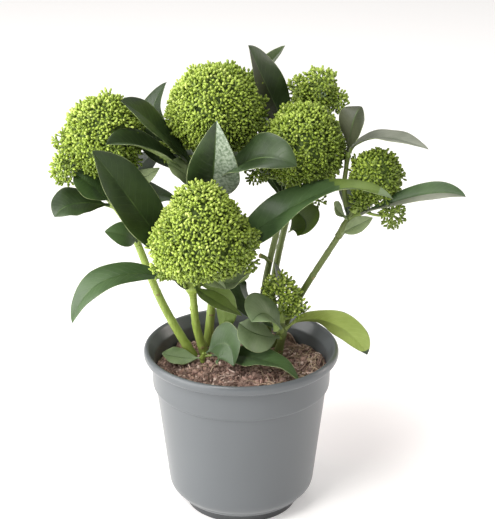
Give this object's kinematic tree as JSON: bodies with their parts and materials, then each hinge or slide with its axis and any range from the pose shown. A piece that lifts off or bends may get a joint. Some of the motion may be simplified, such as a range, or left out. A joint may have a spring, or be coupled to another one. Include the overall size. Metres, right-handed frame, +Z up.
{
  "type": "skimmia in a nursery pot",
  "caption": "Small evergreen shrub with leathery leaves and domed heads of green flower buds on upright stems, in a round tapered plant pot that stands on its flat base.",
  "frame": {"origin": "centre of the pot's flat underside", "axes": "+Z up along the pot's axis, +X to the side that the upper side leaf points to, -Y to the side that the plant shows best from"},
  "size_m": [0.2656, 0.1915, 0.313],
  "materials": {
    "pot": "satin moulded grey plastic",
    "soil": "crumbly moist peat with fibres",
    "stem": "smooth green bark",
    "leaf": "leathery, with a grey sheen",
    "bud": "waxy green buds"
  },
  "bodies": {
    "root": {"pot": "pot", "soil": "soil", "stem_left": "stem", "leaves_left": "leaf", "head_left": "bud", "stem_front": "stem", "leaves_front": "leaf", "head_front": "bud", "stem_middle": "stem", "leaves_middle": "leaf", "head_middle": "bud", "stem_back": "stem", "leaves_back": "leaf", "head_back": "bud", "stem_far": "stem", "leaves_far": "leaf", "head_far": "bud", "stem_right": "stem", "leaves_right": "leaf", "head_right": "bud", "stem_low": "stem", "leaves_low": "leaf", "head_low": "bud", "stem_upper": "stem", "leaves_upper": "leaf", "leaves_side": "leaf", "leaves_basal": "leaf"}
  },
  "joints": []
}
